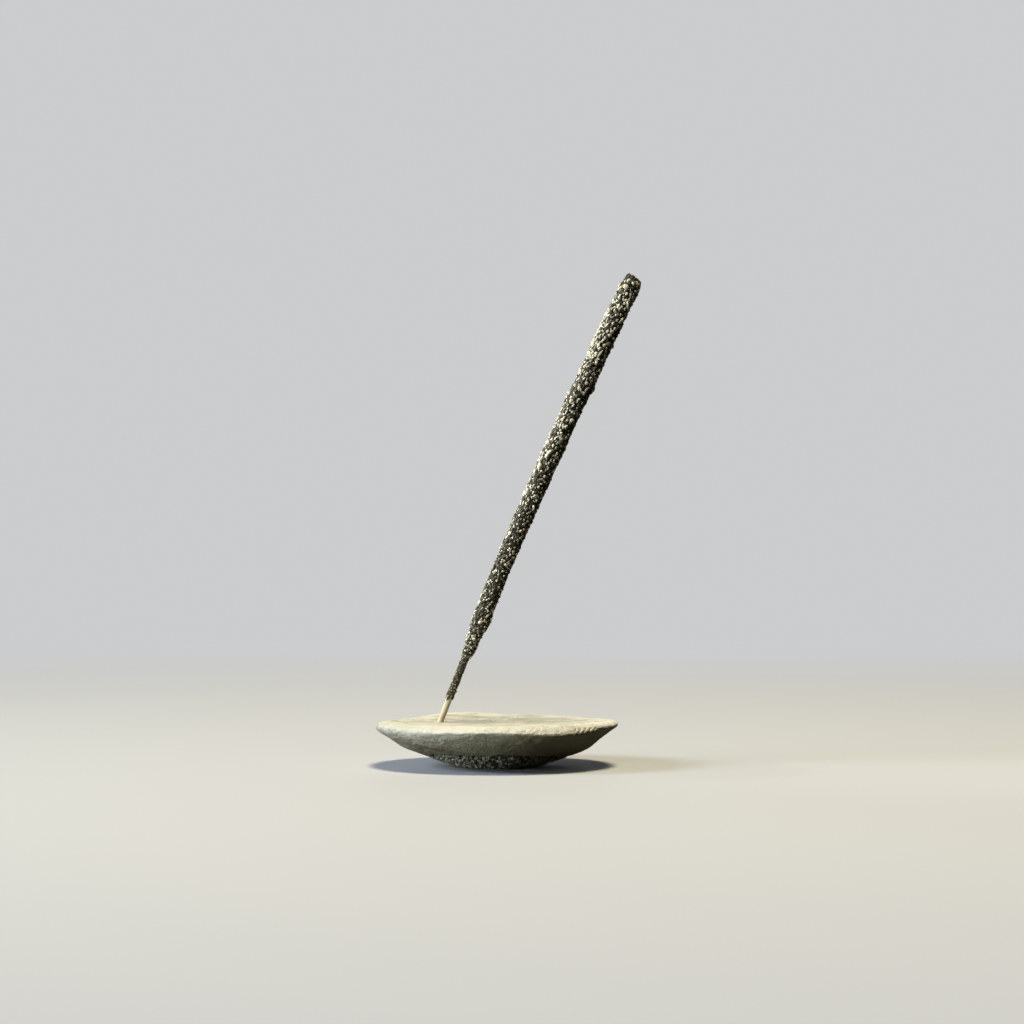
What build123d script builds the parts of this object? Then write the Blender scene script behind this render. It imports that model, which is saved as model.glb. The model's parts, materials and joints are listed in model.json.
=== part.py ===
from build123d import *
import os
from math import cos, degrees, radians, sin

# Incense burner: a hand-formed clay dish with one thick hand-rolled incense stick in a slanting hole.
# Frame: origin at the centre of the foot, on the table; +Z up; +X the way the stick leans; -Y the front.
# All sizes are in millimetres.

# ---- Dish ----
depth_ratio = 0.95  # front to back against side to side
# Rings of the dish: height, and how far the ring reaches to the left and to the right.
# The lip is thick and blunt at the left end, and thin at the right end.
foot_ring = (0.0, 16.0, 16.0)
skirt_ring = (4.4, 30.0, 29.2)  # where the gritty skirt meets the smooth wall
wall_rings = [(7.4, 37.8, 37.0), (10.7, 43.3, 42.0), (13.4, 47.5, 45.9), (16.0, 50.0, 48.6)]
edge_ring = (17.4, 49.6, 50.0)
lip_ring = (18.3, 47.4, 49.2)
crest_ring = (18.8, 44.5, 46.8)
bowl_depth = 1.5
bowl_power = 2.2  # how late the bowl's floor turns up towards the lip
bowl_shares = (0.92, 0.78, 0.6, 0.42, 0.24, 0.08)
bowl_rings = [
    (crest_ring[0] - bowl_depth * (1 - share**bowl_power), crest_ring[1] * share, crest_ring[2] * share)
    for share in bowl_shares
]

# ---- Hole for the stick ----
lean = 21.4  # degrees from upright, towards +X
hole_radius = 1.5
hole_depth = 10.0
hole_mouth = Vector(-23.7, 5.0, 17.7)
hole_axis = Vector(sin(radians(lean)), 0, cos(radians(lean)))

# ---- Stick: distances run along it from the hole's mouth ----
bamboo_radius = 1.35
foot_gap = 0.05  # between the bamboo's end and the bottom of the hole
straight_run = 12.0  # above this the stick bows further towards +X
bow_radius = 2267.0
tip = 200.5

binder_start = 9.8
binder_start_radius = 1.45
binder_radius = 1.65
# The thick coat: distance, radius, shift towards the underside of the lean
coat_rings = [
    (29.7, 1.9, 0.0),
    (33.0, 2.45, 0.3),
    (38.0, 2.9, 0.25),
    (43.5, 3.75, 0.4),
    (50.0, 3.85, 0.3),
    (62.0, 3.8, 0.0),
    (100.0, 4.0, 0.0),
    (130.0, 4.15, 0.0),
    (160.0, 4.15, 0.0),
    (192.0, 4.25, 0.0),
    (tip, 4.1, 0.0),
]

# ---- Resin crumbs pressed into the thick coat ----
crumb_count = 150
crumb_kinds = [(0.75, 5), (0.9, 6), (1.1, 4), (0.85, 5)]  # radius and number of sides
crumb_flatness = 0.55  # half height against radius
crumb_taper = 30
crumb_sunk = 0.15  # depth of a crumb's middle below the coat's surface
crumb_margin = 5.0  # clear of the thin lower end and of the tip
golden_angle = 137.5


with BuildPart() as dish:
    # the straight skirt, the swelling wall and the rolled lip, each lofted onto the last
    for rings in (
        [foot_ring, skirt_ring],
        [skirt_ring, *wall_rings, edge_ring],
        [edge_ring, lip_ring, crest_ring],
    ):
        for height, left, right in rings:
            with BuildSketch(Plane.XY.offset(height)):
                with Locations(((right - left) / 2, 0)):
                    Ellipse((left + right) / 2, depth_ratio * (left + right) / 2)
        loft()
    # the shallow bowl
    for height, left, right in [crest_ring, *bowl_rings]:
        with BuildSketch(Plane.XY.offset(height)):
            with Locations(((right - left) / 2, 0)):
                Ellipse((left + right) / 2, depth_ratio * (left + right) / 2)
    loft(mode=Mode.SUBTRACT)
    with Locations(Plane(origin=hole_mouth, x_dir=(0, 1, 0), z_dir=hole_axis)):
        Hole(hole_radius, hole_depth)
dish.part.label = "dish"

# The stick's centre line: straight in the hole and just above it, then a long gentle bow.
with BuildLine(Plane.XZ.offset(-hole_mouth.Y)) as stick_line:
    stick_foot = hole_mouth - hole_axis * (hole_depth - foot_gap)
    bow_start = hole_mouth + hole_axis * straight_run
    straight = Line((stick_foot.X, stick_foot.Z), (bow_start.X, bow_start.Z))
    bow = JernArc(straight @ 1, straight % 1, bow_radius, -degrees((tip - straight_run) / bow_radius))
stick_wire = stick_line.wires()[0]


def stick_plane(distance):
    """Plane across the stick, its X pointing to the underside of the lean."""
    along = distance + hole_depth - foot_gap
    centre = stick_wire.position_at(along, PositionMode.LENGTH)
    direction = stick_wire.tangent_at(along, PositionMode.LENGTH)
    return Plane(centre, x_dir=(direction.Z, 0, -direction.X), z_dir=direction)


with BuildPart() as bamboo_core:
    with BuildSketch(stick_plane(foot_gap - hole_depth)):
        Circle(bamboo_radius)
    sweep(path=stick_wire)
bamboo_core.part.label = "bamboo_core"

with BuildPart() as binder_coat:
    # it thickens up to the start of the bow, and is even from there to the tip
    for ring_distance, ring_radius in ((binder_start, binder_start_radius), (straight_run, binder_radius)):
        with BuildSketch(stick_plane(ring_distance)):
            Circle(ring_radius)
    loft()
    with BuildSketch(stick_plane(straight_run)):
        Circle(binder_radius)
    sweep(path=bow)
    add(bamboo_core.part, mode=Mode.SUBTRACT)
binder_coat.part.label = "binder_coat"

with BuildPart() as incense_coat:
    for ring_distance, ring_radius, ring_shift in coat_rings:
        with BuildSketch(stick_plane(ring_distance)):
            with Locations((ring_shift, 0)):
                Circle(ring_radius)
    loft(ruled=True)
    add(binder_coat.part, mode=Mode.SUBTRACT)
    add(bamboo_core.part, mode=Mode.SUBTRACT)
incense_coat.part.label = "incense_coat"


def coat_at(distance):
    """Radius and shift of the thick coat, read between its rings."""
    for low, high in zip(coat_rings, coat_rings[1:]):
        if distance <= high[0]:
            share = (distance - low[0]) / (high[0] - low[0])
            return low[1] + share * (high[1] - low[1]), low[2] + share * (high[2] - low[2])


def crumb_plane(index):
    """Plane on the coat's surface for one crumb, its Z pointing out of the coat."""
    first = coat_rings[0][0] + crumb_margin
    distance = first + (tip - crumb_margin - first) * (index + 0.5) / crumb_count
    radius, shift = coat_at(distance)
    angle = radians(golden_angle * index)
    across = stick_plane(distance)
    outward = across.x_dir * cos(angle) + across.y_dir * sin(angle)
    centre = across.origin + across.x_dir * shift + outward * (radius - crumb_sunk)
    turned = across.z_dir.rotate(Axis((0, 0, 0), outward), golden_angle * index)
    return Plane(centre, x_dir=turned, z_dir=outward)


with BuildPart() as resin_crumbs:
    for kind, (crumb_radius, side_count) in enumerate(crumb_kinds):
        with BuildSketch(*[crumb_plane(index) for index in range(kind, crumb_count, len(crumb_kinds))]):
            RegularPolygon(crumb_radius, side_count)
        extrude(amount=crumb_flatness * crumb_radius, both=True, taper=crumb_taper)
resin_crumbs.part.label = "resin_crumbs"

os.makedirs("parts", exist_ok=True)
export_step(dish.part, "parts/dish.step")
export_step(bamboo_core.part, "parts/bamboo_core.step")
export_step(binder_coat.part, "parts/binder_coat.step")
export_step(incense_coat.part, "parts/incense_coat.step")
export_step(resin_crumbs.part, "parts/resin_crumbs.step")
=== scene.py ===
import json
from math import asin, cos, radians, sin, tau

import bpy
import numpy as np
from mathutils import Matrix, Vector, noise


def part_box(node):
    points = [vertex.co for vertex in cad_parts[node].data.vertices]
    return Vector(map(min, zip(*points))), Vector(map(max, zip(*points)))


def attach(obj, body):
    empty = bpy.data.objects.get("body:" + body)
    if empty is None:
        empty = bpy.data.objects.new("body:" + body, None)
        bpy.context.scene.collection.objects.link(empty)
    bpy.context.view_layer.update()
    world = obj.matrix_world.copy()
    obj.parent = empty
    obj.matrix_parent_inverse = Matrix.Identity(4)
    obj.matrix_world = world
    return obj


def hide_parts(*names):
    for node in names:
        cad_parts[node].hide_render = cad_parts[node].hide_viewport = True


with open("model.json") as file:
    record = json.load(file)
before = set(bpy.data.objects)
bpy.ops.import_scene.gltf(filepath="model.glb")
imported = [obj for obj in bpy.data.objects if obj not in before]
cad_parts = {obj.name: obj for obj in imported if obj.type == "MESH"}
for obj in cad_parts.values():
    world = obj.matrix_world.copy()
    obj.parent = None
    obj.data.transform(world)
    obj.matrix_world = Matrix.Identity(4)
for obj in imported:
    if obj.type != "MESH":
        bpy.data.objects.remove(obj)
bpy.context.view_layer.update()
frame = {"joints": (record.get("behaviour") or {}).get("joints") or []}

# Shapes are worked out in millimetres, in the frame of the CAD model, and turned into metres as each
# mesh is made. Every random draw comes from the one seeded generator.
MM = 0.001
rng = np.random.default_rng(7)


# ---------------------------------------------------------------- from the frame
def node_box(name):
    """Lowest and highest corners of a CAD node, in millimetres."""
    return [np.array(corner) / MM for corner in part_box(name)]


dish_low, dish_high = node_box("dish")
splint_low, splint_high = node_box("bamboo_core")
stick_axis = np.array(frame["joints"][0]["axis"])
stick_lean = asin(stick_axis[0])
splint_radius = (splint_high[1] - splint_low[1]) / 2
splint_foot = np.array(
    (
        splint_low[0] + splint_radius * cos(stick_lean),
        (splint_low[1] + splint_high[1]) / 2,
        splint_low[2] + splint_radius * sin(stick_lean),
    )
)

# ---------------------------------------------------------------- stick
# Distances run along the stick from the hole's mouth.
hole_radius = 1.5
hole_depth = 10.0
foot_gap = 0.05  # between the splint's end and the bottom of the hole
splint_start = foot_gap - hole_depth
hole_mouth = splint_foot - splint_start * stick_axis
straight_run = 12.0  # above this the stick bows further towards +X
bow_radius = 2267.0
tip = 201.4
cut_height = 0.8  # from the end of the coat's sides to the tip
binder_start = 9.2
binder_end = 33.0  # well inside the thick coat
binder_radius = 1.62
binder_pebbles = 0.95  # size of the bumps in the first coat
# The thick coat: distance, radius, and shift towards the underside of the lean
coat_rings = [
    (28.2, 1.35, 0.0), (29.7, 1.85, 0.0), (31.3, 2.2, 0.2), (33.0, 2.35, 0.25), (38.0, 2.7, 0.2),
    (41.5, 3.1, 0.25), (43.5, 3.55, 0.35), (46.0, 3.75, 0.35), (50.0, 3.5, 0.2), (58.0, 3.55, 0.0),
    (70.0, 3.5, -0.1), (82.0, 3.6, 0.0), (94.0, 3.8, 0.0), (106.0, 3.85, 0.1), (118.0, 3.9, 0.0),
    (127.0, 4.0, 0.0), (137.0, 3.75, 0.1), (146.0, 3.9, 0.0), (155.0, 3.95, 0.2), (162.0, 3.7, 0.3),
    (169.0, 3.9, 0.1), (176.0, 4.0, 0.0), (184.0, 3.95, 0.0), (190.0, 3.7, 0.0), (194.5, 4.05, 0.0),
    (tip - 2.5, 3.75, 0.0), (tip - cut_height, 3.5, -0.1),
]
coat_start = coat_rings[0][0]
coat_end = coat_rings[-1][0]
coat_fullness = 0.12  # how much thicker the coat is than its rings, all along
coat_pebbles = 1.35
# The cut end, from its edge to its middle: share of the edge's reach, and height above the coat's sides
cut_end = [(0.96, 0.45), (0.86, 0.75), (0.7, 0.85), (0.52, 0.8), (0.36, 0.55), (0.3, -0.6)]

# ---------------------------------------------------------------- dish
rim_reach = dish_high[0]
depth_ratio = (dish_high[1] - dish_low[1]) / (dish_high[0] - dish_low[0])
foot_reaches = (4.0, 8.0, 12.0, 14.5, 16.0)  # rings under the foot, the last of them its edge
skirt_height = 4.4
crest_height = 18.7
# Rings from the skirt's top, up the wall and over the lip. Each has its height and reach at the blunt left
# end, at the front and back, and at the thin right end, and the rows of mesh up to the next ring.
wall_rings = [
    (skirt_height, 29.4, skirt_height, 29.8, skirt_height, 30.0, 26),
    (7.7, 37.5, 7.6, 37.9, 7.6, 37.8, 11),
    (11.1, 43.3, 10.7, 43.6, 11.1, 42.2, 10),
    (13.9, 47.9, 13.2, 47.3, 14.6, 46.6, 8),
    (15.4, 49.8, 15.3, 49.4, 17.2, 49.8, 4),
    (16.6, rim_reach, 16.4, 49.9, 18.0, rim_reach, 3),
    (17.6, 49.5, 17.0, 49.6, 18.3, 49.7, 4),
    (18.4, 48.0, 17.8, 48.2, 18.6, 48.9, 5),
    (18.8, 45.2, crest_height, 45.6, 18.9, 46.6, 0),
]
# Where the lip's edge hangs lower, at the front right and the front left: how much, at how many degrees
# round, and how wide
lip_droops = [(0.9, 297, 17), (0.4, 232, 22)]
# Height of the lip's crest by place: degrees round from the right end, by way of the back
crest_by_angle = [
    (0, 18.4), (20, 18.2), (38, 17.8), (54, 18.2), (68, 18.9), (84, 18.1), (100, 19.4), (118, 19.7),
    (140, 17.6), (165, 18.0), (180, 18.5), (225, 19.1), (270, 19.3), (315, 19.1),
]
bowl_depth = 1.5
bowl_power = 2.2  # how late the bowl's floor turns up towards the lip
hole_edge = 0.25  # how far the clay is rounded off round the hole
edge_curve = (0.06, 0.12)  # a point half way round that edge: out from the hole's side, and down it
dish_columns = 540
skirt_rows = 40
bowl_rows = 50
torn_radius = 28.0  # of the cylinder on which the pattern of the torn clay is laid
smear_radius = 14.0  # of the smaller one for the streaks, which draws them out round the wall


# ---------------------------------------------------------------- helpers for shapes
def smooth_step(low, high, value):
    """0 below low, 1 above high, and a smooth rise between them. It falls where low is the larger."""
    share = np.clip((value - low) / (high - low), 0, 1)
    return share * share * (3 - 2 * share)


def swell(value, middle, width):
    """1 where the value is at the middle, and a smooth fall to 0 on both sides of it."""
    return np.exp(-(((value - middle) / width) ** 2))


def rough(points, size, octaves=3):
    """Fractal noise from about -1 to 1 at each point, with lumps of that size."""
    flat = points.reshape(-1, 3) / size
    values = [noise.fractal(Vector(place), 1.0, 2.0, octaves) for place in flat.tolist()]
    return np.array(values).reshape(points.shape[:-1])


def pebbled(points, size):
    """1 on the crown of each pebble of that size, and 0 in the gaps between pebbles."""
    slope = 0.45  # from a gap up to the crown, in pebbles
    bluntness = 0.6
    flat = points.reshape(-1, 3) / size
    gaps = []
    for place in flat.tolist():
        near, next_near = noise.voronoi(Vector(place))[0][:2]
        gaps.append(next_near - near)
    return np.clip(np.array(gaps).reshape(points.shape[:-1]) / slope, 0, 1) ** bluntness


def normals_of(grid):
    """Outward direction at each point of a grid of closed rings."""
    round_ring = np.roll(grid, -1, axis=1) - np.roll(grid, 1, axis=1)
    up_rows = np.gradient(grid, axis=0)
    normal = np.cross(round_ring, up_rows)
    return normal / np.maximum(np.linalg.norm(normal, axis=-1, keepdims=True), 1e-9)


def curve_through(knots, steps):
    """Rows on a smooth curve through the knots, with a number of steps after each knot."""
    knots = np.asarray(knots, float)
    padded = np.vstack([2 * knots[0] - knots[1], knots, 2 * knots[-1] - knots[-2]])
    rows = []
    for index, count in enumerate(steps):
        before, start, end, after = padded[index : index + 4]
        share = np.arange(count)[:, None] / count
        bend = 2 * before - 5 * start + 4 * end - after
        twist = 3 * (start - end) + after - before
        rows.append(start + 0.5 * ((end - before) * share + bend * share**2 + twist * share**3))
    return np.vstack([*rows, knots[-1]])


def make_piece(name, points, faces, body, smooth=True, **marks):
    """A Blender object from points in millimetres. Each mark is a number at every point, for its finish."""
    mesh = bpy.data.meshes.new(name)
    mesh.from_pydata((points * MM).tolist(), [], faces)
    for mark, values in marks.items():
        mesh.attributes.new(mark, "FLOAT", "POINT").data.foreach_set("value", values.ravel())
    mesh.polygons.foreach_set("use_smooth", [smooth] * len(faces))
    piece = bpy.data.objects.new(name, mesh)
    bpy.context.scene.collection.objects.link(piece)
    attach(piece, body)
    return piece


def close_rings(name, grid, body, **marks):
    """A closed piece from a grid of rings, which a point closes at each end."""
    rows, columns = grid.shape[:2]
    points = np.vstack([grid.reshape(-1, 3), grid[0].mean(0), grid[-1].mean(0)])
    first_pole, last_pole = rows * columns, rows * columns + 1
    here = np.arange(columns)
    beside = np.roll(here, -1)
    faces = [(first_pole, b, a) for a, b in zip(here.tolist(), beside.tolist())]
    for row in range(rows - 1):
        low = row * columns
        high = low + columns
        faces += np.stack([low + here, low + beside, high + beside, high + here], -1).tolist()
    top = (rows - 1) * columns
    faces += [(last_pole, top + a, top + b) for a, b in zip(here.tolist(), beside.tolist())]
    ended = {}
    for mark, values in marks.items():
        ended[mark] = np.append(values.ravel(), (values[0, 0], values[-1, 0]))
    return make_piece(name, points, faces, body, **ended)


# ---------------------------------------------------------------- the dish's rings
dish_angles = np.arange(dish_columns) * tau / dish_columns
backward = np.array((0.0, 1.0, 0.0))


def dish_ring(height, left, front, right):
    """One ring, from its height and its reach to the left, to the front and back, and to the right."""
    x = (right - left) / 2 + (left + right) / 2 * np.cos(dish_angles)
    y = depth_ratio * front * np.sin(dish_angles)
    return np.stack([x, y, height + 0 * dish_angles], -1)


def skirt_ring(share):
    """A ring of the straight skirt, at a share of the way up from the foot's edge."""
    foot_reach = foot_reaches[-1]
    top_reaches = np.array(wall_rings[0][1:6:2])
    return dish_ring(skirt_height * share, *(foot_reach + (top_reaches - foot_reach) * share))


def wall_grid():
    """Rings up the wall and over the lip. The lip's edge droops in places, and its crest rises and falls."""
    place = np.degrees(dish_angles)
    knot_places, knot_heights = zip(*crest_by_angle)
    # the mean over 20 degrees takes the corners off the list of heights
    around = place[None] + np.linspace(-10, 10, 11)[:, None]
    crest_change = np.interp(around, knot_places, knot_heights, period=360).mean(0) - crest_height
    droop = sum(depth * swell(place, middle, width) for depth, middle, width in lip_droops)
    left_share = smooth_step(0.3, 1.0, -np.cos(dish_angles))
    right_share = smooth_step(0.6, 1.0, np.cos(dish_angles))
    rings = []
    for row in curve_through([knot[:6] for knot in wall_rings], [knot[6] for knot in wall_rings[:-1]]):
        left_height, left, front_height, front, right_height, right = row
        height = front_height + (left_height - front_height) * left_share
        height += (right_height - front_height) * right_share
        height += crest_change * smooth_step(9.0, crest_height, front_height)
        on_edge = smooth_step(11.0, 15.5, front_height) * smooth_step(crest_height, 17.0, front_height)
        rings.append(dish_ring(height - droop * on_edge, left, front, right))
    return rings


def bowl_height(x, y, crest):
    """Height of the bowl's floor inside the crest: flat in the middle, and turning up late to the lip."""
    left, front, right = wall_rings[-1][1:6:2]
    from_middle = np.hypot((x - (right - left) / 2) / ((right + left) / 2), y / (depth_ratio * front))
    share = np.minimum(from_middle, 1)
    floor = crest[:, 2] - bowl_depth * (1 - share**bowl_power)
    return floor - (crest[:, 2] - crest_height) * (1 - share**2)


def hole_ring(radius, sunk=0.0):
    """A ring of the slanting hole, sunk so far below its mouth."""
    under = np.array((stick_axis[2], 0.0, -stick_axis[0]))
    out = np.cos(dish_angles)[:, None] * under + np.sin(dish_angles)[:, None] * backward
    return hole_mouth + radius * out - sunk * stick_axis


def mouth_ring(radius, crest):
    """A ring of the hole where it meets the bowl's floor."""
    ring = hole_ring(radius)
    rise = (bowl_height(ring[:, 0], ring[:, 1], crest) - ring[:, 2]) / stick_axis[2]
    return ring + rise[:, None] * stick_axis


def bowl_grid(crest):
    """Rings down the bowl's floor, from the crest to the hole."""
    mouth = mouth_ring(hole_radius + hole_edge, crest)
    rings = []
    for share in np.linspace(0, 1, bowl_rows)[1:] ** 0.9:
        floor = crest + (mouth - crest) * share
        floor[:, 2] = bowl_height(floor[:, 0], floor[:, 1], crest)
        rings.append(floor)
    return rings


def dish_grid():
    """Rings of the dish from under the foot to the bottom of the hole, and the row where each part ends."""
    foot = [dish_ring(0.0, reach, reach, reach) for reach in foot_reaches]
    skirt = [skirt_ring(share) for share in np.linspace(0, 1, skirt_rows, endpoint=False)[1:]]
    wall = wall_grid()
    crest = wall[-1]
    bowl = bowl_grid(crest)
    hole = [mouth_ring(hole_radius + edge_curve[0], crest) - edge_curve[1] * stick_axis]
    hole += [hole_ring(hole_radius, sunk) for sunk in (0.6, 2.0, 4.0, 6.0, 8.0, 9.6, hole_depth)]
    hole += [hole_ring(0.8, hole_depth)]  # on the hole's flat end
    ends = np.cumsum([len(part) for part in (foot, skirt, wall, bowl)])
    return np.array(foot + skirt + wall + bowl + hole), ends


# ---------------------------------------------------------------- the marks in the dish's clay
def skirt_border(grid):
    """Height at which the torn skirt ends: uneven, low at both ends, and higher at the front and back."""
    angle = np.arctan2(grid[..., 1], grid[..., 0])
    rise = 2.3 * smooth_step(0.25, 0.9, np.abs(np.sin(angle)))
    rise *= 1 - 0.35 * smooth_step(0.0, 0.8, np.cos(angle))
    return skirt_height - 0.2 + rise + 0.6 * rough(grid * (1, 1, 0), 8.0)


def torn_clay(grid, angle):
    """The skirt: a net of sharp ridges drawn out up its slope, and the coarser lumps that it lies on."""
    torn = np.stack([torn_radius * np.cos(angle), torn_radius * np.sin(angle), 1.3 * grid[..., 2]], -1)
    ridges = 1 - np.minimum(np.abs(rough(torn, 1.0, 3)) * 2.4, 1)
    return ridges, rough(torn, 3.0, 3)


def wall_relief(grid, angle):
    """The wall: lumps and folds left by the hands, drag marks, and crumbs dragged along above the skirt."""
    z = grid[..., 2]
    lumps = 0.2 * rough(grid, 14.0, 2) + 0.09 * rough(grid, 2.0, 3)
    under_lip = smooth_step(11.5, 14.0, z) * smooth_step(-1.0, -0.85, np.cos(angle))
    lumps += 0.25 * rough(grid, 4.5, 2) * under_lip
    drags = 0.06 * rough(grid * (0.4, 0.4, 1.2), 1.1, 3) * smooth_step(16.5, 13.0, z)
    crumbs = smooth_step(0.35, 0.7, rough(grid * (0.45, 0.45, 1.2), 0.9, 2)) * smooth_step(9.0, 6.5, z)
    drags += 0.2 * crumbs * smooth_step(0.0, 0.5, rough(grid, 9.0, 1))

    # a fold at the front left, which runs down towards the front, a low one round the left end, and a
    # broad one under the lip between them
    turn = np.degrees(angle)
    fold_height = 11.6 - 0.085 * np.maximum(turn + 132, 0)
    folds = 0.8 * swell(turn, -115, 28) * swell(z, fold_height, 2.0)
    folds += 0.35 * swell(np.abs(turn), 172, 24) * swell(z, 8.8, 1.7)
    folds += 0.6 * swell(turn, -131, 17) * swell(z, 12.8, 2.8)
    return lumps + drags + folds


def lip_cuts(grid):
    """Slanting nicks under the thin lip at the front right, and a hollow beyond them, each from 0 to 1."""
    x, y, z = grid[..., 0], grid[..., 1], grid[..., 2]
    nicked = smooth_step(30.5, 32.0, x) * smooth_step(41.5, 40.0, x) * (y < 0)
    nicked = nicked * smooth_step(14.4, 15.4, z) * smooth_step(18.4, 17.4, z)
    nick_slant = 0.6
    nick_spacing = 2.05
    wave = tau * ((x - nick_slant * z) / nick_spacing + 0.12 * rough(grid * (1, 1, 0), 4.0, 1))
    return np.clip(np.sin(wave), 0, 1) ** 3 * nicked, swell(x, 42.3, 1.5) * swell(z, 17.0, 0.9) * (y < 0)


def bowl_relief(grid, in_bowl):
    """The bowl: how far its clay stands out, the creases in it, and the streaks in its colour, which are
    partly painted shade where the bowl is low.
    """
    x, y = grid[..., 0], grid[..., 1]
    form = rough(grid * (0.4, 1, 0), 7.0, 3)
    fine_form = rough(grid * (0.28, 1, 0), 5.0, 3)

    # thumb strokes in soft rings that follow the lip, broken up along their length
    first_stroke = 47.0
    stroke_width = 11.0
    inward = first_stroke - np.hypot(x, y / depth_ratio)
    strokes = np.sin(tau * (inward + 3.0 * rough(grid * (1, 1, 0), 20.0, 2)) / stroke_width)
    strokes *= 0.16 * smooth_step(-0.4, 0.5, rough(grid * (1, 1, 0), 24.0, 2))

    # thin creases between the strokes, with one long one behind the middle
    creases = 1 - np.minimum(np.abs(rough(grid * (0.3, 0.8, 0), 9.0, 2)) * 8, 1)
    creases *= 0.5 * smooth_step(-0.1, 0.3, rough(grid * (1, 1, 0), 22.0, 1))
    long_crease = 0.8 * smooth_step(-18.0, -14.0, x) * smooth_step(22.0, 6.0, x)
    long_crease *= swell(y, 13.0 + 1.3 * np.sin(x / 5), 1.1)
    creases = np.maximum(creases, long_crease) * in_bowl

    relief = 0.5 * form + 0.3 * fine_form + strokes - 0.3 * creases
    # the colour's streaks: painted shade where the broad form is low, and tone that follows the finer form
    return relief, creases, 0.75 * fine_form - 0.65 * form - 0.05


def dish_relief(grid, ends):
    """How far the clay stands out at each point, and the marks that its finish needs."""
    foot_end, _, wall_end, bowl_end = ends
    x, y, z = grid[..., 0], grid[..., 1], grid[..., 2]
    angle = np.arctan2(y, x)
    row = np.arange(len(grid))[:, None] + 0 * x
    outside = row < wall_end
    border = skirt_border(grid)
    on_skirt = np.where(outside, 1 - smooth_step(-0.2, 0.3, z - border), 0.0)
    in_bowl = smooth_step(wall_end - 2, wall_end + 3, row)
    # painted highlight: the lip's lit band is painted paler; it reaches further in at the back left, and
    # fades at both ends
    further_in = 5 * smooth_step(0, 25, y) * smooth_step(10, -5, x)
    lip_highlight = smooth_step(wall_end - 16, wall_end - 11, row)
    lip_highlight *= smooth_step(wall_end + 4, wall_end, row - further_in)
    lip_highlight *= 1 - 0.8 * smooth_step(0.55, 1.0, -np.cos(angle)) - 0.5 * smooth_step(0.85, 1.0, np.cos(angle))

    ridges, coarse = torn_clay(grid, angle)
    torn = 1.3 * (ridges - 0.8) + 0.3 * coarse
    # a groove along the skirt's border, which comes and goes
    groove = 0.8 * swell(z, border + 0.1, 0.3) * smooth_step(-0.7, 0.2, rough(grid, 15.0, 2))
    groove = np.where(outside, groove, 0.0)
    nicks, hollow = lip_cuts(grid)
    from_bowl, creases, bowl_streaks_and_shade = bowl_relief(grid, in_bowl)
    relief = (1 - on_skirt) * wall_relief(grid, angle) + on_skirt * torn
    relief = (relief - groove - 0.5 * nicks - 0.5 * hollow) * (1 - in_bowl) + from_bowl * in_bowl

    # round the hole the clay is smooth but for a low ring, and the foot has only hollows
    from_hole = np.hypot(x - hole_mouth[0], y - hole_mouth[1])
    relief = relief * smooth_step(2.2, 6.0, from_hole) + 0.14 * swell(from_hole, 2.7, 0.6) * in_bowl
    relief = np.where(row < bowl_end, relief, 0.0)
    relief = np.where(row < foot_end - 1, 0.4 * np.minimum(torn, 0), relief)

    # streaks in the colour: drawn round the wall by the fingers, and in the bowl partly painted shade,
    # darker where it is low
    smears = np.stack([smear_radius * np.cos(angle), smear_radius * np.sin(angle), 1.8 * z], -1)
    streaks_and_shade = np.where(outside, rough(smears, 7.0, 4), bowl_streaks_and_shade)
    # painted shade: the skirt's torn gaps, the groove under its border, the nicks and the bowl's creases are
    # darkened in the finish as if in shadow
    gap = on_skirt * np.clip(1.7 - 2.4 * ridges - 0.5 * coarse, 0, 1)
    gap = np.maximum.reduce([gap, 0.94 * groove, 0.6 * nicks, 0.35 * creases])
    marks = dict(skirt=on_skirt, gap=np.clip(gap, 0, 1), streak_and_shade=np.clip(0.5 + streaks_and_shade, 0, 1))
    return relief, dict(marks, lip=lip_highlight, bowl=in_bowl)


def make_dish():
    """The clay dish, and the coarse grit that stands out of its skirt."""
    grid, ends = dish_grid()
    relief, marks = dish_relief(grid, ends)
    grid = grid + normals_of(grid) * relief[..., None]
    grid[..., 2] = np.maximum(grid[..., 2], 0)
    dish = close_rings("clay_dish", grid, "dish", **marks)
    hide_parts("dish")

    # grit from just above the table to just below the skirt's border, wherever that runs
    gritty = slice(ends[0] + 3, ends[1] + wall_rings[0][6] + 1)
    spots, outward = pick_spots(grid[gritty], normals_of(grid)[gritty], 4, 5)
    kept = (rng.random(len(spots)) < 0.85) & (spots[:, 2] > 0.7) & (spots[:, 2] < skirt_border(spots) - 0.2)
    shape = dict(sunk=0.1, flat=1.0, longer=3.0)
    grit = make_crumbs("skirt_grit", spots[kept], outward[kept], (0.22, 0.46), "dish", **shape)
    return dish, grit


# ---------------------------------------------------------------- crumbs
GOLDEN = (1 + 5**0.5) / 2
crumb_corners = np.array(
    [(0, a, b * GOLDEN) for a in (-1, 1) for b in (-1, 1)]
    + [(a, b * GOLDEN, 0) for a in (-1, 1) for b in (-1, 1)]
    + [(b * GOLDEN, 0, a) for a in (-1, 1) for b in (-1, 1)]
) / np.hypot(1, GOLDEN)
corner_count = len(crumb_corners)


def crumb_faces():
    """The 20 triangles between neighbouring corners, each wound outward."""
    reach = np.linalg.norm(crumb_corners[:, None] - crumb_corners[None], axis=-1)
    near = (reach > 0.1) & (reach < 1.1)
    faces = []
    for a in range(corner_count):
        for b in range(a + 1, corner_count):
            for c in range(b + 1, corner_count):
                if near[a, b] and near[b, c] and near[a, c]:
                    pa, pb, pc = crumb_corners[[a, b, c]]
                    outward = np.dot(np.cross(pb - pa, pc - pa), pa) > 0
                    faces.append((a, b, c) if outward else (a, c, b))
    return np.array(faces)


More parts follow.
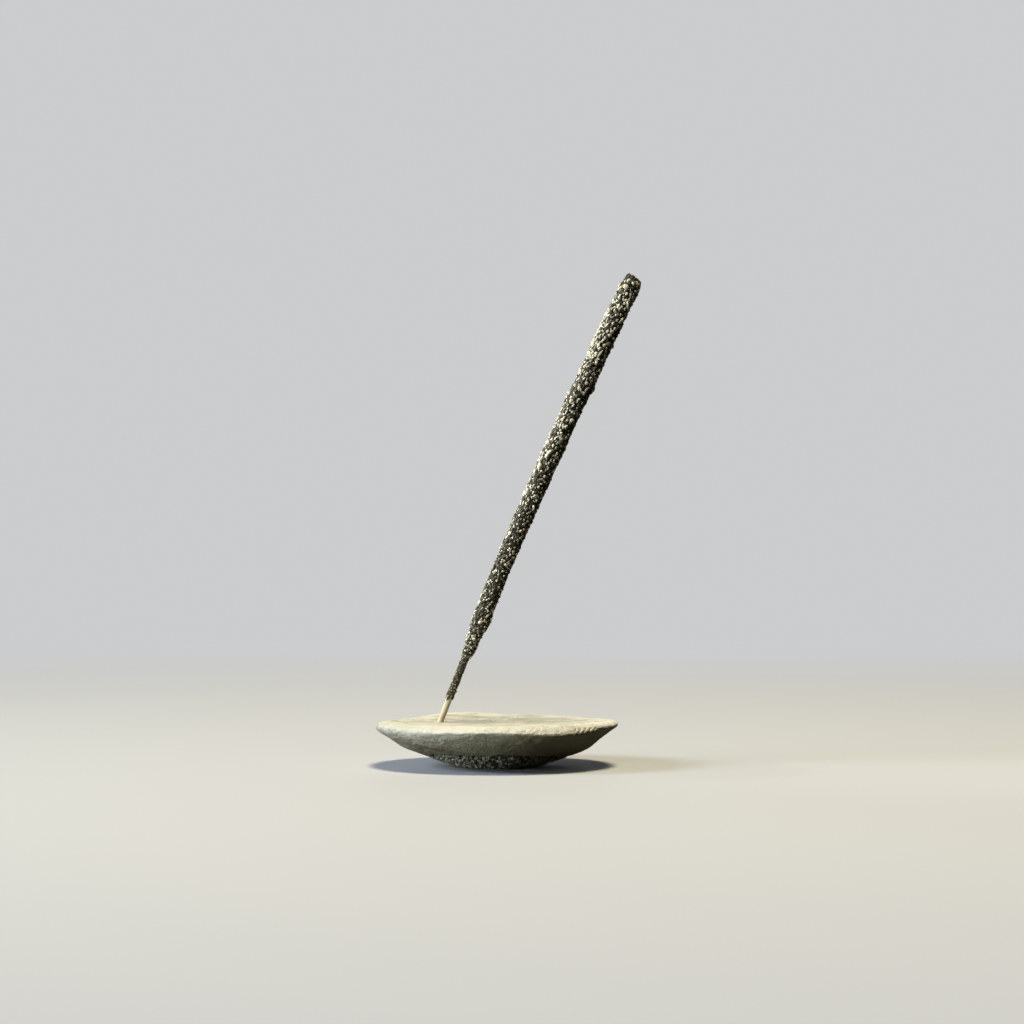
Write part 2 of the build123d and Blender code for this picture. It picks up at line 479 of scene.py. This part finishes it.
def pick_spots(grid, outward, row_step, column_step):
    """One place at random in every block of the grid, with its outward direction."""
    rows, columns = grid.shape[0] // row_step, grid.shape[1] // column_step
    row = np.arange(rows)[:, None] * row_step + rng.integers(0, row_step, (rows, columns))
    column = np.arange(columns)[None] * column_step + rng.integers(0, column_step, (rows, columns))
    return grid[row, column].reshape(-1, 3), outward[row, column].reshape(-1, 3)


def unit(vectors):
    """The vectors, each brought to a length of 1."""
    return vectors / np.linalg.norm(vectors, axis=1, keepdims=True)


def make_crumbs(name, spots, outward, sizes, body, sunk=0.0, flat=0.75, longer=1.0, lie=None, smooth=False):
    """Angular crumbs, all different in size, shape and tone, each sunk by a share of its size.

    Sizes are one for each crumb, or the smallest and the largest. A few crumbs are drawn out, up to so
    much longer. Their long sides lie roughly along lie, or any way.
    """
    count = len(spots)
    size = rng.uniform(*sizes, count) if len(sizes) == 2 else sizes
    # each is an uneven ball of 12 corners, stretched its own way
    stretch = rng.uniform(0.75, 1.3, (count, 1, 3)) * (1, 1, flat)
    drawn_out = 1 + (longer - 1) * rng.random((count, 1)) ** 3
    stretch[..., 0] *= drawn_out
    stretch[..., 1] /= drawn_out**0.5
    uneven = rng.uniform(0.78, 1.18, (count, corner_count, 1))
    corners = crumb_corners * uneven * stretch * size[:, None, None]
    # its own axes: up out of the surface, tilted a little, and along its long side
    spin = rng.uniform(0, tau, count) if lie is None else rng.normal(0, 0.7, count) / drawn_out[:, 0]
    lie = np.array((1.0, 0.0, 0.0) if lie is None else lie)
    lie = np.where(np.abs(outward @ lie)[:, None] < 0.8, lie, backward)
    across = unit(np.cross(outward, lie))
    along = np.cross(across, outward) * np.cos(spin)[:, None] + across * np.sin(spin)[:, None]
    tilt = rng.uniform(-0.3, 0.3, (count, 1)) / drawn_out
    up = unit(outward + along * tilt)
    along = unit(along - up * (along * up).sum(1, keepdims=True))
    axes = np.stack([along, np.cross(up, along), up], 1)
    points = np.einsum("nij,njk->nik", corners, axes)
    points += (spots - outward * (sunk * size)[:, None])[:, None]
    points[..., 2] = np.maximum(points[..., 2], 0)
    first_corners = corner_count * np.arange(count)[:, None, None]
    faces = (crumb_faces()[None] + first_corners).reshape(-1, 3).tolist()
    tone = np.repeat(rng.random(count), corner_count)
    return make_piece(name, points.reshape(-1, 3), faces, body, smooth=smooth, tone=tone)


# ---------------------------------------------------------------- the stick and its coats
def stick_at(distance):
    """Centre, direction and underside of the stick at each distance from the hole's mouth."""
    lean = stick_lean + np.maximum(distance - straight_run, 0) / bow_radius
    straight = np.minimum(distance, straight_run)
    x = straight * sin(stick_lean) + bow_radius * (cos(stick_lean) - np.cos(lean))
    z = straight * cos(stick_lean) + bow_radius * (np.sin(lean) - sin(stick_lean))
    centre = hole_mouth + np.stack([x, 0 * x, z], -1)
    direction = np.stack([np.sin(lean), 0 * lean, np.cos(lean)], -1)
    underside = np.stack([np.cos(lean), 0 * lean, -np.sin(lean)], -1)
    return centre, direction, underside


def stick_rings(distance, radius, shift=0.0):
    """Rings round the stick, from a distance for each ring and a radius for each point on it."""
    angle = np.arange(radius.shape[1]) * tau / radius.shape[1]
    centre, _, underside = stick_at(np.broadcast_to(distance[:, None], radius.shape))
    out = np.cos(angle)[:, None] * underside + np.sin(angle)[:, None] * backward
    return centre + underside * np.asarray(shift)[..., None] + out * radius[..., None]


def make_splint():
    """The bamboo splint: round, with fine fibres along it and a cut at each end."""
    columns = 72
    end = tip - 0.1
    # close rings up to where the coats hide it, and a few from there on
    rows = np.concatenate([np.arange(splint_start, 32, 0.45), np.arange(34, end, 12.0), [end]])
    # the fibres' pattern is laid on a wider cylinder and drawn out along the splint
    angle = np.arange(columns) * tau / columns
    around = np.stack([4.0 * np.cos(angle), 4.0 * np.sin(angle), 0 * angle], -1)
    along = np.array((0, 0, 1.0)) * (rows[:, None, None] * 0.045)
    fibres = 0.03 * rough(around[None] + along, 0.55, 2) - 0.02
    whole = smooth_step(splint_start, splint_start + 0.4, rows) * smooth_step(tip, tip - 0.5, rows)
    grid = stick_rings(rows, splint_radius + fibres - 0.06 * (1 - whole)[:, None])
    first, last = (ring * 0.85 + ring.mean(1, keepdims=True) * 0.15 for ring in (grid[:1], grid[-1:]))
    grid = np.concatenate([first, grid, last])
    splint = close_rings("bamboo_splint", grid, "stick")
    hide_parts("bamboo_core")
    return splint


def make_binder():
    """The thin first coat, a bumpy skin that thins out in patches where it starts, and its grains."""
    columns = 84
    rows = np.arange(binder_start, binder_end, 0.16)
    grid = stick_rings(rows, np.full((len(rows), columns), binder_radius))
    patches = rough(grid, 1.5, 3)
    cover = smooth_step(0.15, 0.6, (rows[:, None] - binder_start) / 5.5 + 0.55 * patches)
    bumps = 0.36 * (pebbled(grid, binder_pebbles) - 0.6) + 0.12 * rough(grid, 3.0, 2)
    # the skin runs just under the splint's surface where the splint is bare
    grid = stick_rings(rows, splint_radius - 0.08 + cover * (binder_radius - splint_radius + 0.06 + bumps))
    # painted shade: how deep each point lies between the bumps, darkened in the finish
    gap = np.clip(1.2 - 1.4 * pebbled(grid, binder_pebbles), 0, 1)
    skin = close_rings("binder_skin", grid, "stick", gap=gap)
    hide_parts("binder_coat")

    spots, outward = pick_spots(grid, normals_of(grid), 4, 8)
    climb = (spots - hole_mouth) @ stick_axis
    covered = smooth_step(binder_start, binder_start + 6.0, climb)
    kept = (rng.random(len(spots)) < 0.55) & (covered > rng.uniform(0.1, 0.7, len(spots)))
    grains = make_crumbs("binder_grains", spots[kept], outward[kept], (0.17, 0.38), "stick", smooth=True)
    return skin, grains


def coat_grids():
    """Rings of the rolled coat with its cut end, and the same rings without the bumps of its sides."""
    columns = 96
    rows = np.arange(coat_start, coat_end, 0.3)
    distance, radius, shift = np.array(coat_rings).T
    radius = np.interp(rows, distance, radius)[:, None] + coat_fullness + np.zeros((1, columns))
    shift = np.interp(rows, distance, shift)[:, None]
    plain = stick_rings(rows, radius, shift)
    lumps = 0.26 * rough(plain, 6.5, 2) + 0.12 * rough(plain, 2.4, 2)
    started = smooth_step(coat_start, 31.5, rows)[:, None]
    bumps = started * (0.5 * (pebbled(plain, coat_pebbles) - 0.75) + lumps)
    grid = stick_rings(rows, radius + bumps, shift)

    # the cut end, a little higher on the upper side, with the splint's end in its middle
    edge = grid[-1]
    centre, direction, underside = (part[0] for part in stick_at(np.array([tip])))
    across = (edge - centre) @ underside
    ends = []
    for share, rise in cut_end:
        flat = centre + (edge - edge.mean(0)) * share
        flat = flat - ((flat - centre) @ direction)[:, None] * direction
        lift = rise - cut_height - 0.16 * across * share
        lift = lift + 0.3 * rough(flat, 1.2, 2) * (share > cut_end[-1][0])
        ends.append(flat + lift[:, None] * direction)
    return np.concatenate([grid, ends]), np.concatenate([plain, ends])


def make_coat():
    """The thick hand-rolled coat, its dark crumbs and the pale resin crumbs pressed into it."""
    grid, plain = coat_grids()
    # painted shade: how deep each point lies between the bumps, darkened almost to black in the finish
    gap = np.clip(1.1 - 1.3 * pebbled(grid, coat_pebbles), 0, 1)
    coat = close_rings("paste_coat", grid, "stick", gap=gap)
    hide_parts("incense_coat")

    # crumbs lie along the plain rings, so that long ones don't stand out of the side of a bump
    spots, outward = pick_spots(grid[4:-2], normals_of(plain)[4:-2], 5, 4)
    climb = (spots - hole_mouth) @ stick_axis
    kept = (climb < tip - 2.0) | (outward @ stick_axis > 0.8)
    spots, outward, climb = spots[kept], outward[kept], climb[kept]
    pale = rng.random(len(spots)) < 0.34 + 0.05 * smooth_step(90, 190, climb)
    dark = ~pale
    size = (0.85 + 0.35 * smooth_step(60, 190, climb)) * rng.uniform(0.36, 0.72, len(spots))
    large = (rng.random(len(spots)) < 0.12) & (climb < tip - 5.0)
    size = np.where(large, 1.6 * size, size)
    kind = dict(body="stick", flat=0.7, lie=stick_axis, smooth=True)
    deep = dict(kind, sunk=0.15, longer=2.6)
    chips = make_crumbs("paste_crumbs", spots[dark], outward[dark], size[dark], **deep)
    shallow = dict(kind, sunk=0.0, longer=2.0)
    resin = make_crumbs("resin_crumb_grains", spots[pale], outward[pale], size[pale], **shallow)
    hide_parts("resin_crumbs")
    return coat, chips, resin


# ---------------------------------------------------------------- finishes
class Socket:
    """An output of a shader node. Sums with it add Math nodes, and node() adds any other node."""

    def __init__(self, tree, output=None):
        self.tree = tree
        self.output = output

    def node(self, kind, settings=None, inputs=None, output=0):
        """Adds a node: its settings first, then its inputs. Gives back one of its outputs."""
        made = self.tree.nodes.new("ShaderNode" + kind)
        for name, value in (settings or {}).items():
            setattr(made, name, value)
        for name, value in (inputs or {}).items():
            if isinstance(value, Socket):
                self.tree.links.new(value.output, made.inputs[name])
            else:
                made.inputs[name].default_value = value
        return Socket(self.tree, made.outputs[output] if made.outputs else None)

    def __add__(self, other):
        return self.node("Math", {"operation": "ADD"}, {0: self, 1: other})

    def __sub__(self, other):
        return self.node("Math", {"operation": "SUBTRACT"}, {0: self, 1: other})

    def __rsub__(self, other):
        return self.node("Math", {"operation": "SUBTRACT"}, {0: other, 1: self})

    def __mul__(self, other):
        return self.node("Math", {"operation": "MULTIPLY"}, {0: self, 1: other})

    def __pow__(self, other):
        return self.node("Math", {"operation": "POWER"}, {0: self, 1: other})

    __radd__ = __add__
    __rmul__ = __mul__


def rgb(red, green, blue):
    """A colour from its three shares of linear light."""
    return (red, green, blue, 1.0)


class Finish(Socket):
    """A material, with the shader nodes that a maker of this object needs."""

    def __init__(self, name):
        self.material = bpy.data.materials.new(name)
        self.material.use_nodes = True
        super().__init__(self.material.node_tree)
        self.tree.nodes.clear()
        in_metres = self.node("TexCoord", output=3)  # the object's own coordinates
        self.place = self.node("VectorMath", {"operation": "SCALE"}, {0: in_metres, "Scale": 1 / MM})

    def grain(self, size, detail=3.0, place=None, sharp=0.5):
        """Cloudy variation from 0 to 1, with patches of that size in millimetres."""
        inputs = {"Vector": place or self.place, "Scale": 1 / size, "Detail": detail, "Roughness": sharp}
        return self.node("TexNoise", None, inputs)

    def dots(self, size, edge, core):
        """A round dot in each cell of that size in millimetres: 0 outside its edge, and 1 in its core."""
        from_middle = self.node("TexVoronoi", {"feature": "F1"}, {"Vector": self.place, "Scale": 1 / size})
        return self.between(from_middle, edge, core)

    def squeezed(self, place, scales):
        """The place with each direction scaled. A pattern there is drawn out where the scale is small."""
        return self.node("VectorMath", {"operation": "MULTIPLY"}, {0: place, 1: scales})

    def mark(self, name):
        """A number that the mesh carries at each of its points."""
        return self.node("Attribute", {"attribute_name": name}, output=2)

    def between(self, value, low, high):
        """0 where the value is below low, and 1 where it is above high. It falls where low is the larger."""
        limits = {"Value": value, "From Min": low, "From Max": high}
        return self.node("MapRange", {"interpolation_type": "SMOOTHSTEP"}, limits)

    def layered(self, colour, *layers):
        """The colour under some layers, each with its share from 0 to 1 and its own colour."""
        for share, tone in layers:
            # a Mix node takes its two colours at inputs 6 and 7, and gives theirs at output 2
            colour = self.node("Mix", {"data_type": "RGBA"}, {0: share, 6: colour, 7: tone}, output=2)
        return colour

    def bump(self, height, depth):
        """Fine relief, its depth in millimetres."""
        return self.node("Bump", None, {"Height": height, "Distance": depth * MM, "Strength": 1.0})

    def surface(self, colour, roughness, normal, specular=0.35):
        """Closes the material with its colour, roughness, relief and gloss."""
        inputs = {"Base Color": colour, "Roughness": roughness, "Normal": normal}
        inputs["Specular IOR Level"] = specular
        shader = self.node("BsdfPrincipled", None, inputs)
        self.node("OutputMaterial", None, {"Surface": shader})
        return self.material


def fired_clay():
    """Cream clay fired without a glaze: matt and softly mottled, with painted shade that darkens its pits
    and makes its gaps almost black, and painted light on its lip and skirt.
    """
    clay = Finish("fired_clay")
    cloud = clay.between(clay.grain(9.0, 4.0), 0.35, 0.7)
    drag = clay.between(clay.grain(1.3, 4.0, clay.squeezed(clay.place, (0.35, 0.35, 1.0)), 0.6), 0.38, 0.68)
    fleck = clay.between(clay.grain(0.8, 3.0, sharp=0.6), 0.42, 0.7)
    # streaks: tone on the wall, and in the bowl stronger and partly painted shade where its floor is low
    streak_and_shade = clay.between(clay.mark("streak_and_shade"), 0.1, 0.9) * (clay.mark("bowl") * 0.35 + 0.65)
    # painted shade: dark dots where the clay is pitted, which the bump also sinks
    shaded_pits = clay.dots(7.0, 0.055, 0.03)
    gap = clay.mark("gap")
    colour = clay.layered(
        rgb(0.86, 0.815, 0.685),
        (cloud * 0.6, rgb(0.79, 0.74, 0.61)),
        (drag * 0.35, rgb(0.62, 0.575, 0.455)),
        (fleck * 0.35, rgb(0.55, 0.51, 0.4)),
        (streak_and_shade, rgb(0.56, 0.52, 0.41)),
        # painted highlight on the lip's lit band
        (clay.mark("lip") * 0.7, rgb(0.97, 0.925, 0.8)),
        (shaded_pits * 0.7, rgb(0.26, 0.23, 0.17)),
        # painted light: the skirt faces down and lies in shade, so it is painted paler
        (clay.mark("skirt") * 0.8, rgb(0.92, 0.9, 0.82)),
        # painted shade in the gaps, the groove, the nicks and the creases
        (gap * 0.93, rgb(0.04, 0.037, 0.03)),
    )
    tooth = 1.0 * clay.grain(0.35, 3.0, sharp=0.65) + 1.3 * clay.grain(0.8, 4.0, sharp=0.6) + 0.7 * drag
    normal = clay.bump(tooth - 1.2 * shaded_pits - 1.5 * gap, 0.65)
    return clay.surface(colour, clay.grain(2.0) * 0.12 + 0.82, normal, specular=0.25)


def clay_grit():
    """Coarse grit in the clay of the skirt: the same clay, each grain a shade lighter or darker."""
    grit = Finish("clay_grit")
    colour = grit.layered(rgb(0.62, 0.59, 0.5), (grit.mark("tone"), rgb(0.97, 0.95, 0.86)))
    return grit.surface(colour, 0.9, grit.bump(grit.grain(0.3, 3.0), 0.05), specular=0.25)


def split_bamboo():
    """Pale straw-coloured bamboo with darker fibres along it."""
    bamboo = Finish("split_bamboo")
    turned = {"Vector": bamboo.place, "Rotation": (0, -stick_lean, 0)}
    upright = bamboo.node("Mapping", {"vector_type": "POINT"}, turned)
    along = bamboo.squeezed(upright, (1.0, 1.0, 0.05))
    fibres = bamboo.grain(0.28, 4.0, along, sharp=0.6)
    bundles = bamboo.grain(0.9, 2.0, along)
    colour = bamboo.layered(
        rgb(0.8, 0.72, 0.54),
        (bamboo.between(fibres, 0.35, 0.7), rgb(0.5, 0.41, 0.26)),
        (bamboo.between(bundles, 0.48, 0.66) * 0.7, rgb(0.3, 0.22, 0.12)),
    )
    return bamboo.surface(colour, 0.6, bamboo.bump(fibres, 0.06))


def binder_paste():
    """Thin olive-brown paste, with painted shade that makes it darker between its bumps."""
    paste = Finish("binder_paste")
    colour = paste.layered(
        rgb(0.17, 0.145, 0.09),
        (paste.between(paste.grain(1.2), 0.3, 0.7), rgb(0.05, 0.041, 0.024)),
        # painted shade between the bumps
        (paste.mark("gap") * 0.95, rgb(0.02, 0.017, 0.011)),
    )
    return paste.surface(colour, 0.8, paste.bump(paste.grain(0.3, 4.0), 0.08))


def binder_grain():
    """Grains stuck in the binder, from olive brown to pale."""
    grain = Finish("binder_grain")
    colour = grain.layered(rgb(0.07, 0.06, 0.035), (grain.mark("tone") ** 1.5, rgb(0.9, 0.82, 0.62)))
    return grain.surface(colour, 0.7, grain.bump(grain.grain(0.2), 0.04))


def incense_paste():
    """Dark paste of wood and charcoal powder, with painted shade that makes it almost black in its gaps."""
    paste = Finish("incense_paste")
    colour = paste.layered(
        rgb(0.09, 0.076, 0.05),
        (paste.between(paste.grain(1.0), 0.3, 0.7), rgb(0.03, 0.025, 0.017)),
        # painted shade in the gaps between the bumps
        (paste.mark("gap"), rgb(0.008, 0.007, 0.005)),
    )
    return paste.surface(colour, 0.75, paste.bump(paste.grain(0.3, 4.0), 0.1))


def dark_crumb():
    """Crumbs of wood and resin rolled in the paste, from near black to light brown."""
    crumb = Finish("dark_crumb")
    colour = crumb.layered(rgb(0.018, 0.015, 0.01), (crumb.mark("tone") ** 1.8, rgb(0.56, 0.505, 0.37)))
    return crumb.surface(colour, 0.65, crumb.bump(crumb.grain(0.35, 3.0), 0.07))


def pale_resin():
    """Pale crumbs of crushed resin, dusty, with a little gloss."""
    resin = Finish("pale_resin")
    colour = resin.layered(
        rgb(0.48, 0.44, 0.33),
        (resin.mark("tone"), rgb(0.93, 0.89, 0.75)),
        (resin.between(resin.grain(0.6), 0.5, 0.75) * 0.4, rgb(0.25, 0.21, 0.14)),
    )
    return resin.surface(colour, 0.45, resin.bump(resin.grain(0.3, 3.0), 0.06), specular=0.5)


def finish(pieces, materials):
    """Gives each piece its material."""
    for piece, material in zip(pieces, materials):
        piece.data.materials.append(material)


# ---------------------------------------------------------------- the pieces
finish(make_dish(), (fired_clay(), clay_grit()))
finish([make_splint()], [split_bamboo()])
finish(make_binder(), (binder_paste(), binder_grain()))
finish(make_coat(), (incense_paste(), dark_crumb(), pale_resin()))


# ---------------------------------------------------------------- floor, light and camera
background_tone = rgb(0.6, 0.605, 0.61)
fade_start = 180.0  # the floor fades into the background from here, in millimetres from its middle
fade_end = 1200.0
camera_place = (6.2, -1222.0, 104.9)  # in millimetres
# Lamps are placed and aimed in metres.
dish_aim = (0, 0, 0.05)
stick_aim = (0.03, 0, 0.13)


def make_floor():
    """A wide pale floor that fades into the background. It throws back less light than it shows."""
    bpy.ops.mesh.primitive_circle_add(vertices=96, radius=6.0, fill_type="NGON")
    floor = bpy.context.object
    floor.name = "floor"
    tone = Finish("floor_paper")
    seen = tone.node("LightPath")  # 1 for what the camera sees, and 0 for what lights the dish
    colour = tone.layered(rgb(0.05, 0.049, 0.039), (seen, rgb(0.535, 0.535, 0.565)))
    paper = tone.node("BsdfDiffuse", None, {"Color": colour})
    far = tone.node("VectorMath", {"operation": "LENGTH"}, {0: tone.place}, output=1)
    away = tone.between(far, fade_start, fade_end) * seen
    glow = tone.node("Emission", None, {"Color": background_tone})
    shader = tone.node("MixShader", None, {0: away, 1: paper, 2: glow})
    tone.node("OutputMaterial", None, {"Surface": shader})
    floor.data.materials.append(tone.material)


def light_world():
    """Low even light all round, and the plain background."""
    world = bpy.data.worlds.new("studio")
    bpy.context.scene.world = world
    world.use_nodes = True
    world.node_tree.nodes.clear()
    sky = Socket(world.node_tree)
    seen = sky.node("LightPath")
    room = sky.node("Background", None, {"Color": rgb(0.9, 0.95, 1.0), "Strength": 0.02})
    plain = sky.node("Background", None, {"Color": background_tone, "Strength": 1.0})
    shader = sky.node("MixShader", None, {0: seen, 1: room, 2: plain})
    sky.node("OutputWorld", None, {"Surface": shader})


def add_lamp(name, place, size, power, colour, aim=dish_aim, spread=180):
    """A square soft lamp, aimed at the dish or at another place, with a beam as wide as told in degrees."""
    lamp = bpy.data.lights.new(name, "AREA")
    lamp.size = size
    lamp.energy = power
    lamp.color = colour
    lamp.spread = radians(spread)
    holder = bpy.data.objects.new(name, lamp)
    holder.location = place
    holder.rotation_euler = (Vector(aim) - Vector(place)).to_track_quat("-Z", "Y").to_euler()
    bpy.context.scene.collection.objects.link(holder)


def add_camera():
    """A level camera with a long lens, at the height of the middle of the stick."""
    camera = bpy.data.cameras.new("camera")
    camera.lens = 104.0
    camera.clip_start = 0.05
    holder = bpy.data.objects.new("camera", camera)
    holder.location = [value * MM for value in camera_place]
    holder.rotation_euler = (radians(90), 0, 0)
    bpy.context.scene.collection.objects.link(holder)
    bpy.context.scene.camera = holder


make_floor()
light_world()
add_lamp("overhead_soft", (0.25, -0.3, 2.02), 0.6, 43.0, (1.0, 0.92, 0.65))
add_lamp("left_window", (-1.74, -0.46, 0.93), 0.6, 31.0, (0.71, 0.82, 1.0))
add_lamp("left_low", (-1.76, -0.93, 0.2), 0.6, 20.0, (0.89, 0.98, 0.86))
add_lamp("stick_side", (-0.62, 0.16, 0.22), 0.12, 0.13, (1.0, 0.97, 0.86), stick_aim, 18)
add_lamp("back_low", (0.0, 1.98, 0.33), 0.6, 18.5, (0.95, 1.0, 0.96))
add_camera()
bpy.context.scene.view_settings.view_transform = "Standard"
